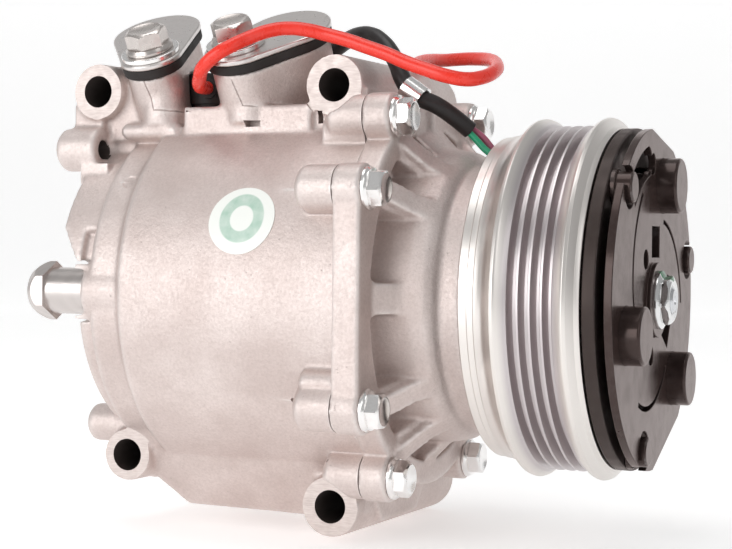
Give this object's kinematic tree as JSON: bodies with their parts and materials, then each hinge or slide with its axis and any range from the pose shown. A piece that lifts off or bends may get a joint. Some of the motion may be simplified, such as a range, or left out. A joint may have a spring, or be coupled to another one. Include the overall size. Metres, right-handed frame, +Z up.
{
  "type": "automotive air conditioning compressor",
  "caption": "Scroll air-conditioning compressor with an electromagnetic clutch, a multi-groove belt pulley, mounting ears and capped ports.",
  "frame": {"origin": "on the drive shaft axis, in the middle plane of the belt track", "axes": "+X along the shaft out of the clutch, +Z up, -Y the side that the machined ear faces look to"},
  "size_m": [0.2004, 0.1291, 0.1722],
  "materials": {
    "cast_aluminium": "as cast, fine grained",
    "machined_aluminium": "machined",
    "anodised_scroll": "machined and anodised",
    "zinc_steel": "zinc plated",
    "cap_steel": "plain sheet",
    "bearing_steel": "ground",
    "dark_steel": "phosphated",
    "spring_steel": "blued spring steel",
    "pulley_steel": "turned and zinc plated",
    "nickel_valve": "satin nickel",
    "brass_poppet": "machined",
    "gloss_black": "gloss paint",
    "coil_black": "satin paint",
    "black_rubber": "moulded",
    "black_sleeve": "satin",
    "red_insulation": "smooth",
    "green_insulation": "smooth",
    "black_plastic": "moulded",
    "tip_seal_plastic": "smooth",
    "sticker_paper": "coated"
  },
  "bodies": {
    "housing": {"rear_housing": "cast_aluminium", "front_housing": "cast_aluminium", "housing_seal": "black_rubber", "housing_bolts": "zinc_steel", "fixed_scroll": "anodised_scroll", "fixed_tip_seal": "tip_seal_plastic", "fixed_scroll_seal": "black_rubber", "fixed_scroll_bolts": "zinc_steel", "reed_retainer": "dark_steel", "reed_screw": "zinc_steel", "relief_valve_body": "nickel_valve", "relief_valve_seal": "black_rubber", "relief_valve_spring": "spring_steel", "discharge_cap": "cap_steel", "discharge_cap_pad": "black_rubber", "suction_cap": "cap_steel", "suction_cap_pad": "black_rubber", "cap_bolts": "zinc_steel", "cap_washers": "zinc_steel", "thermal_switch": "black_rubber", "barrel_sticker": "sticker_paper", "main_bearing_outer_race": "bearing_steel", "front_bearing_outer_race": "bearing_steel", "shaft_seal": "black_rubber", "seal_snap_ring": "spring_steel", "fixed_race": "bearing_steel", "clutch_coil": "coil_black", "coil_snap_ring": "spring_steel", "pulley_bearing_inner_race": "bearing_steel", "bearing_snap_ring": "spring_steel", "sleeved_lead": "black_sleeve", "coil_wires": "green_insulation", "lead_clip": "zinc_steel", "red_lead": "red_insulation", "red_lead_connector": "black_plastic"},
    "pulley": {"pulley": "pulley_steel", "pulley_bearing_outer_race": "bearing_steel", "pulley_snap_ring": "spring_steel"},
    "pulley_balls": {"pulley_bearing_balls": "bearing_steel"},
    "shaft": {"drive_shaft": "bearing_steel", "drive_bushing": "dark_steel", "counterweight": "dark_steel", "clutch_hub": "gloss_black", "damper_cups": "gloss_black", "damper_rubbers": "black_rubber", "hub_nut": "zinc_steel", "hub_shims": "bearing_steel", "main_bearing_inner_race": "bearing_steel", "front_bearing_inner_race": "bearing_steel"},
    "main_balls": {"main_bearing_balls": "bearing_steel"},
    "front_balls": {"front_bearing_balls": "bearing_steel"},
    "orbiter": {"orbiting_scroll": "machined_aluminium", "orbiting_tip_seal": "tip_seal_plastic", "orbiting_race": "bearing_steel", "drive_bearing": "bearing_steel"},
    "coupling": {"coupling_balls": "bearing_steel"},
    "armature": {"armature_plate": "coil_black", "armature_pins": "gloss_black"},
    "reed": {"discharge_reed": "spring_steel"},
    "poppet": {"relief_valve_poppet": "brass_poppet"}
  },
  "joints": [
    {"name": "pulley_spin", "type": "hinge", "parent": "housing", "child": "pulley", "pos_m": [0, 0, 0], "axis": [1, 0, 0], "continuous": true},
    {"name": "pulley_cage_spin", "type": "hinge", "parent": "housing", "child": "pulley_balls", "pos_m": [-0.01, 0, 0], "axis": [1, 0, 0], "continuous": true},
    {"name": "shaft_spin", "type": "hinge", "parent": "housing", "child": "shaft", "pos_m": [0, 0, 0], "axis": [1, 0, 0], "continuous": true},
    {"name": "main_cage_spin", "type": "hinge", "parent": "housing", "child": "main_balls", "pos_m": [-0.036, 0, 0], "axis": [1, 0, 0], "continuous": true},
    {"name": "front_cage_spin", "type": "hinge", "parent": "housing", "child": "front_balls", "pos_m": [-0.0175, 0, 0], "axis": [1, 0, 0], "continuous": true},
    {"name": "orbit", "type": "hinge", "parent": "shaft", "child": "orbiter", "pos_m": [-0.075, 0, 0.0044], "axis": [1, 0, 0], "continuous": true},
    {"name": "coupling_orbit", "type": "hinge", "parent": "shaft", "child": "coupling", "pos_m": [-0.068, 0, 0.0022], "axis": [1, 0, 0], "continuous": true},
    {"name": "armature_pull", "type": "slide", "parent": "shaft", "child": "armature", "axis": [1, 0, 0], "range_m": [-0.00045, 0], "stiffness_N_per_m": 20000, "springref_m": 0.0004},
    {"name": "reed_lift", "type": "hinge", "parent": "housing", "child": "reed", "pos_m": [-0.1193, 0.02, 0], "axis": [0, 0, -1], "range_deg": [0, 8], "stiffness_Nm_per_rad": 0.2, "springref_deg": -1.72},
    {"name": "poppet_lift", "type": "slide", "parent": "housing", "child": "poppet", "axis": [-1, 0, 0], "range_m": [0, 0.003], "stiffness_N_per_m": 4000, "springref_m": -0.002, "deforming": ["relief_valve_spring"]}
  ],
  "couplings": [
    {"joint": "pulley_cage_spin", "follows": "pulley_spin", "ratio": 0.56},
    {"joint": "main_cage_spin", "follows": "shaft_spin", "ratio": 0.392},
    {"joint": "front_cage_spin", "follows": "shaft_spin", "ratio": 0.409},
    {"joint": "orbit", "follows": "shaft_spin", "ratio": -1},
    {"joint": "coupling_orbit", "follows": "shaft_spin", "ratio": -1}
  ]
}
